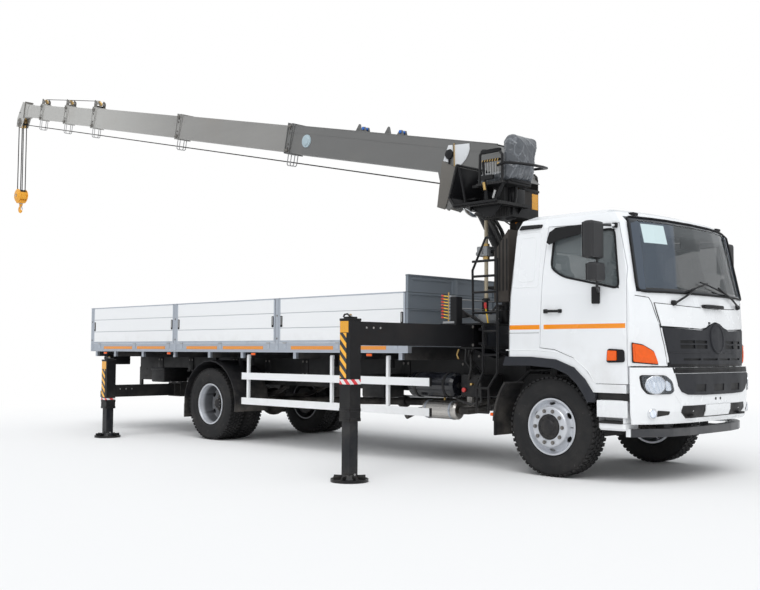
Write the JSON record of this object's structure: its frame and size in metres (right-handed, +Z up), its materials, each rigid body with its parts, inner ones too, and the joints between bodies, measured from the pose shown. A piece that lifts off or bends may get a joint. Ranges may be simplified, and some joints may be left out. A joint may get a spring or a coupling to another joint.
{
  "type": "flatbed truck with telescopic boom crane",
  "caption": "Cab-over flatbed truck with a straight telescopic boom crane behind the cab, an operator's top seat, drop-side bed and extended outriggers",
  "frame": {"origin": "on the ground under the middle of the bounding box in plan", "axes": "+X forward out of the cab, +Y to the driver's left, +Z up"},
  "size_m": [16.3388, 6.246, 6.7714],
  "materials": {
    "frame_black": "satin black paint",
    "axle_black": "painted casting",
    "engine_grey": "grey casting",
    "cab_white": "gloss white paint",
    "cab_trim": "dark grained plastic",
    "window_glass": "lightly tinted glass",
    "guard_plastic": "black plastic",
    "guard_rail": "painted light-metal rail",
    "tank_black": "black paint",
    "muffler_metal": "aluminised sheet",
    "tyre": "black rubber",
    "rim": "silver-grey paint",
    "bed_silver": "bare profile",
    "bed_white": "white coated panel",
    "headboard_blue": "dark blue-grey paint",
    "crane_black": "satin black paint",
    "boom_grey": "grey paint",
    "rod_chrome": "polished chrome",
    "hook_yellow": "yellow paint",
    "seat_cover": "grey vinyl cover"
  },
  "bodies": {
    "chassis": {"chassis_frame": "frame_black", "front_axle": "axle_black", "rear_axle": "axle_black", "engine_block": "engine_grey", "front_valance": "cab_white", "front_mudguards": "guard_plastic", "rear_mudguards": "guard_plastic", "side_guards": "guard_rail", "air_tank": "tank_black", "muffler": "muffler_metal", "fuel_tank": "tank_black", "crane_base": "crane_black", "rear_outrigger_box": "crane_black", "ladder": "crane_black", "bed_floor": "bed_silver", "headboard": "headboard_blue"},
    "cab": {"cab_shell": "cab_white", "windscreen": "window_glass", "cab_interior": "cab_trim", "bumper": "cab_white", "intake_duct": "cab_trim"},
    "crane_post": {"column": "crane_black", "winch": "crane_black", "operator_platform": "crane_black", "operator_seat": "seat_cover"},
    "lift_barrel": {"lift_cylinder_barrel": "crane_black"},
    "lift_rod": {"lift_cylinder_rod": "rod_chrome"},
    "boom_1": {"boom_base": "boom_grey"},
    "hook": {"hook_block": "hook_yellow"},
    "tailgate_panel": {"tailgate": "bed_white"},
    "boom_2": {"boom_section_2": "boom_grey"},
    "boom_3": {"boom_section_3": "boom_grey"},
    "boom_4": {"boom_section_4": "boom_grey"},
    "boom_5": {"boom_section_5": "boom_grey"},
    "boom_6": {"boom_section_6": "boom_grey"},
    "door_right_panel": {"door_right": "cab_white"},
    "knuckle_right": {"steering_knuckle_right": "axle_black"},
    "front_wheel_right": {"front_rim_right": "rim", "front_tyre_right": "tyre"},
    "rear_wheel_pair_right": {"rear_wheels_right": "tyre"},
    "gate_right_front": {"side_gate_right_front": "bed_white"},
    "gate_right_middle": {"side_gate_right_middle": "bed_white"},
    "gate_right_rear": {"side_gate_right_rear": "bed_white"},
    "beam_front_right": {"outrigger_beam_front_right": "crane_black"},
    "jack_front_right": {"jack_leg_front_right": "crane_black"},
    "beam_rear_right": {"outrigger_beam_rear_right": "crane_black"},
    "jack_rear_right": {"jack_leg_rear_right": "crane_black"},
    "door_left_panel": {"door_left": "cab_white"},
    "knuckle_left": {"steering_knuckle_left": "axle_black"},
    "front_wheel_left": {"front_rim_left": "rim", "front_tyre_left": "tyre"},
    "rear_wheel_pair_left": {"rear_wheels_left": "tyre"},
    "gate_left_front": {"side_gate_left_front": "bed_white"},
    "gate_left_middle": {"side_gate_left_middle": "bed_white"},
    "gate_left_rear": {"side_gate_left_rear": "bed_white"},
    "beam_front_left": {"outrigger_beam_front_left": "crane_black"},
    "jack_front_left": {"jack_leg_front_left": "crane_black"},
    "beam_rear_left": {"outrigger_beam_rear_left": "crane_black"},
    "jack_rear_left": {"jack_leg_rear_left": "crane_black"}
  },
  "joints": [
    {"name": "cab_tilt", "type": "hinge", "parent": "chassis", "child": "cab", "pos_m": [8.00936, 0, 0.74], "axis": [0, 1, 0], "range_deg": [0, 45]},
    {"name": "door_right_swing", "type": "hinge", "parent": "cab", "child": "door_right_panel", "pos_m": [7.79136, -1.214, 1.5], "axis": [0, 0, 1], "range_deg": [0, 70]},
    {"name": "steer_right", "type": "hinge", "parent": "chassis", "child": "knuckle_right", "pos_m": [6.86936, -0.8, 0.522], "axis": [0, 0, 1], "range_deg": [-30, 30]},
    {"name": "front_wheel_right_spin", "type": "hinge", "parent": "knuckle_right", "child": "front_wheel_right", "pos_m": [6.86936, -1.02, 0.522], "axis": [0, 1, 0], "continuous": true},
    {"name": "rear_wheel_right_spin", "type": "hinge", "parent": "chassis", "child": "rear_wheel_pair_right", "pos_m": [0.87936, -0.92, 0.522], "axis": [0, 1, 0], "continuous": true},
    {"name": "gate_right_front_fold", "type": "hinge", "parent": "chassis", "child": "gate_right_front", "pos_m": [2.52136, -1.276, 1.41], "axis": [1, 0, 0], "range_deg": [0, 170]},
    {"name": "gate_right_middle_fold", "type": "hinge", "parent": "chassis", "child": "gate_right_middle", "pos_m": [0.07036, -1.276, 1.41], "axis": [1, 0, 0], "range_deg": [0, 170]},
    {"name": "gate_right_rear_fold", "type": "hinge", "parent": "chassis", "child": "gate_right_rear", "pos_m": [-2.44464, -1.276, 1.41], "axis": [1, 0, 0], "range_deg": [0, 170]},
    {"name": "beam_front_right_slide", "type": "slide", "parent": "chassis", "child": "beam_front_right", "axis": [0, 1, 0], "range_m": [0, 1.752]},
    {"name": "jack_front_right_lift", "type": "slide", "parent": "beam_front_right", "child": "jack_front_right", "axis": [0, 0, 1], "range_m": [0, 0.48]},
    {"name": "beam_rear_right_slide", "type": "slide", "parent": "chassis", "child": "beam_rear_right", "axis": [0, 1, 0], "range_m": [0, 1.029]},
    {"name": "jack_rear_right_lift", "type": "slide", "parent": "beam_rear_right", "child": "jack_rear_right", "axis": [0, 0, 1], "range_m": [0, 0.33]},
    {"name": "door_left_swing", "type": "hinge", "parent": "cab", "child": "door_left_panel", "pos_m": [7.79136, 1.214, 1.5], "axis": [0, 0, -1], "range_deg": [0, 70]},
    {"name": "steer_left", "type": "hinge", "parent": "chassis", "child": "knuckle_left", "pos_m": [6.86936, 0.8, 0.522], "axis": [0, 0, 1], "range_deg": [-30, 30]},
    {"name": "front_wheel_left_spin", "type": "hinge", "parent": "knuckle_left", "child": "front_wheel_left", "pos_m": [6.86936, 1.02, 0.522], "axis": [0, 1, 0], "continuous": true},
    {"name": "rear_wheel_left_spin", "type": "hinge", "parent": "chassis", "child": "rear_wheel_pair_left", "pos_m": [0.87936, 0.92, 0.522], "axis": [0, 1, 0], "continuous": true},
    {"name": "gate_left_front_fold", "type": "hinge", "parent": "chassis", "child": "gate_left_front", "pos_m": [2.52136, 1.276, 1.41], "axis": [-1, 0, 0], "range_deg": [0, 170]},
    {"name": "gate_left_middle_fold", "type": "hinge", "parent": "chassis", "child": "gate_left_middle", "pos_m": [0.07036, 1.276, 1.41], "axis": [-1, 0, 0], "range_deg": [0, 170]},
    {"name": "gate_left_rear_fold", "type": "hinge", "parent": "chassis", "child": "gate_left_rear", "pos_m": [-2.44464, 1.276, 1.41], "axis": [-1, 0, 0], "range_deg": [0, 170]},
    {"name": "beam_front_left_slide", "type": "slide", "parent": "chassis", "child": "beam_front_left", "axis": [0, -1, 0], "range_m": [0, 1.752]},
    {"name": "jack_front_left_lift", "type": "slide", "parent": "beam_front_left", "child": "jack_front_left", "axis": [0, 0, 1], "range_m": [0, 0.48]},
    {"name": "beam_rear_left_slide", "type": "slide", "parent": "chassis", "child": "beam_rear_left", "axis": [0, -1, 0], "range_m": [0, 1.029]},
    {"name": "jack_rear_left_lift", "type": "slide", "parent": "beam_rear_left", "child": "jack_rear_left", "axis": [0, 0, 1], "range_m": [0, 0.33]},
    {"name": "tailgate_fold", "type": "hinge", "parent": "chassis", "child": "tailgate_panel", "pos_m": [-2.53664, 0, 1.41], "axis": [0, -1, 0], "range_deg": [0, 170]},
    {"name": "slew", "type": "hinge", "parent": "chassis", "child": "crane_post", "pos_m": [5.61936, 0, 1.8], "axis": [0, 0, 1], "continuous": true},
    {"name": "boom_luff", "type": "hinge", "parent": "crane_post", "child": "boom_1", "pos_m": [5.70936, 0, 3.44], "axis": [0, -1, 0], "range_deg": [-52, 12.4]},
    {"name": "boom_extend_2", "type": "slide", "parent": "boom_1", "child": "boom_2", "axis": [-0.9767, 0, 0.2147], "range_m": [-2.94, 0]},
    {"name": "boom_extend_3", "type": "slide", "parent": "boom_2", "child": "boom_3", "axis": [-0.9767, 0, 0.2147], "range_m": [-2.91, 0.01]},
    {"name": "boom_extend_4", "type": "slide", "parent": "boom_3", "child": "boom_4", "axis": [-0.9767, 0, 0.2147], "range_m": [-1.02, 1.7]},
    {"name": "boom_extend_5", "type": "slide", "parent": "boom_4", "child": "boom_5", "axis": [-0.9767, 0, 0.2147], "range_m": [-0.885, 1.48]},
    {"name": "boom_extend_6", "type": "slide", "parent": "boom_5", "child": "boom_6", "axis": [-0.9767, 0, 0.2147], "range_m": [-0.425, 0.71]},
    {"name": "lift_barrel_swing", "type": "hinge", "parent": "crane_post", "child": "lift_barrel", "pos_m": [5.41936, 0, 2.42], "axis": [0, -1, 0], "range_deg": [-21, 5]},
    {"name": "lift_rod_slide", "type": "slide", "parent": "lift_barrel", "child": "lift_rod", "axis": [-0.5028, 0, 0.8644], "range_m": [-0.145, 0.6]},
    {"name": "hook_swing", "type": "hinge", "parent": "boom_6", "child": "hook", "pos_m": [-8.00936, 0, 6.33339], "axis": [0, -1, 0], "range_deg": [-13, 53]}
  ],
  "couplings": [
    {"joint": "steer_left", "follows": "steer_right", "ratio": 1},
    {"joint": "boom_extend_3", "follows": "boom_extend_2", "ratio": 0.988},
    {"joint": "boom_extend_5", "follows": "boom_extend_4", "ratio": 0.867},
    {"joint": "boom_extend_6", "follows": "boom_extend_4", "ratio": 0.416},
    {"joint": "lift_barrel_swing", "follows": "boom_luff", "ratio": 0.39},
    {"joint": "lift_rod_slide", "follows": "boom_luff", "m_per_rad": -0.655},
    {"joint": "hook_swing", "follows": "boom_luff", "ratio": -1}
  ]
}
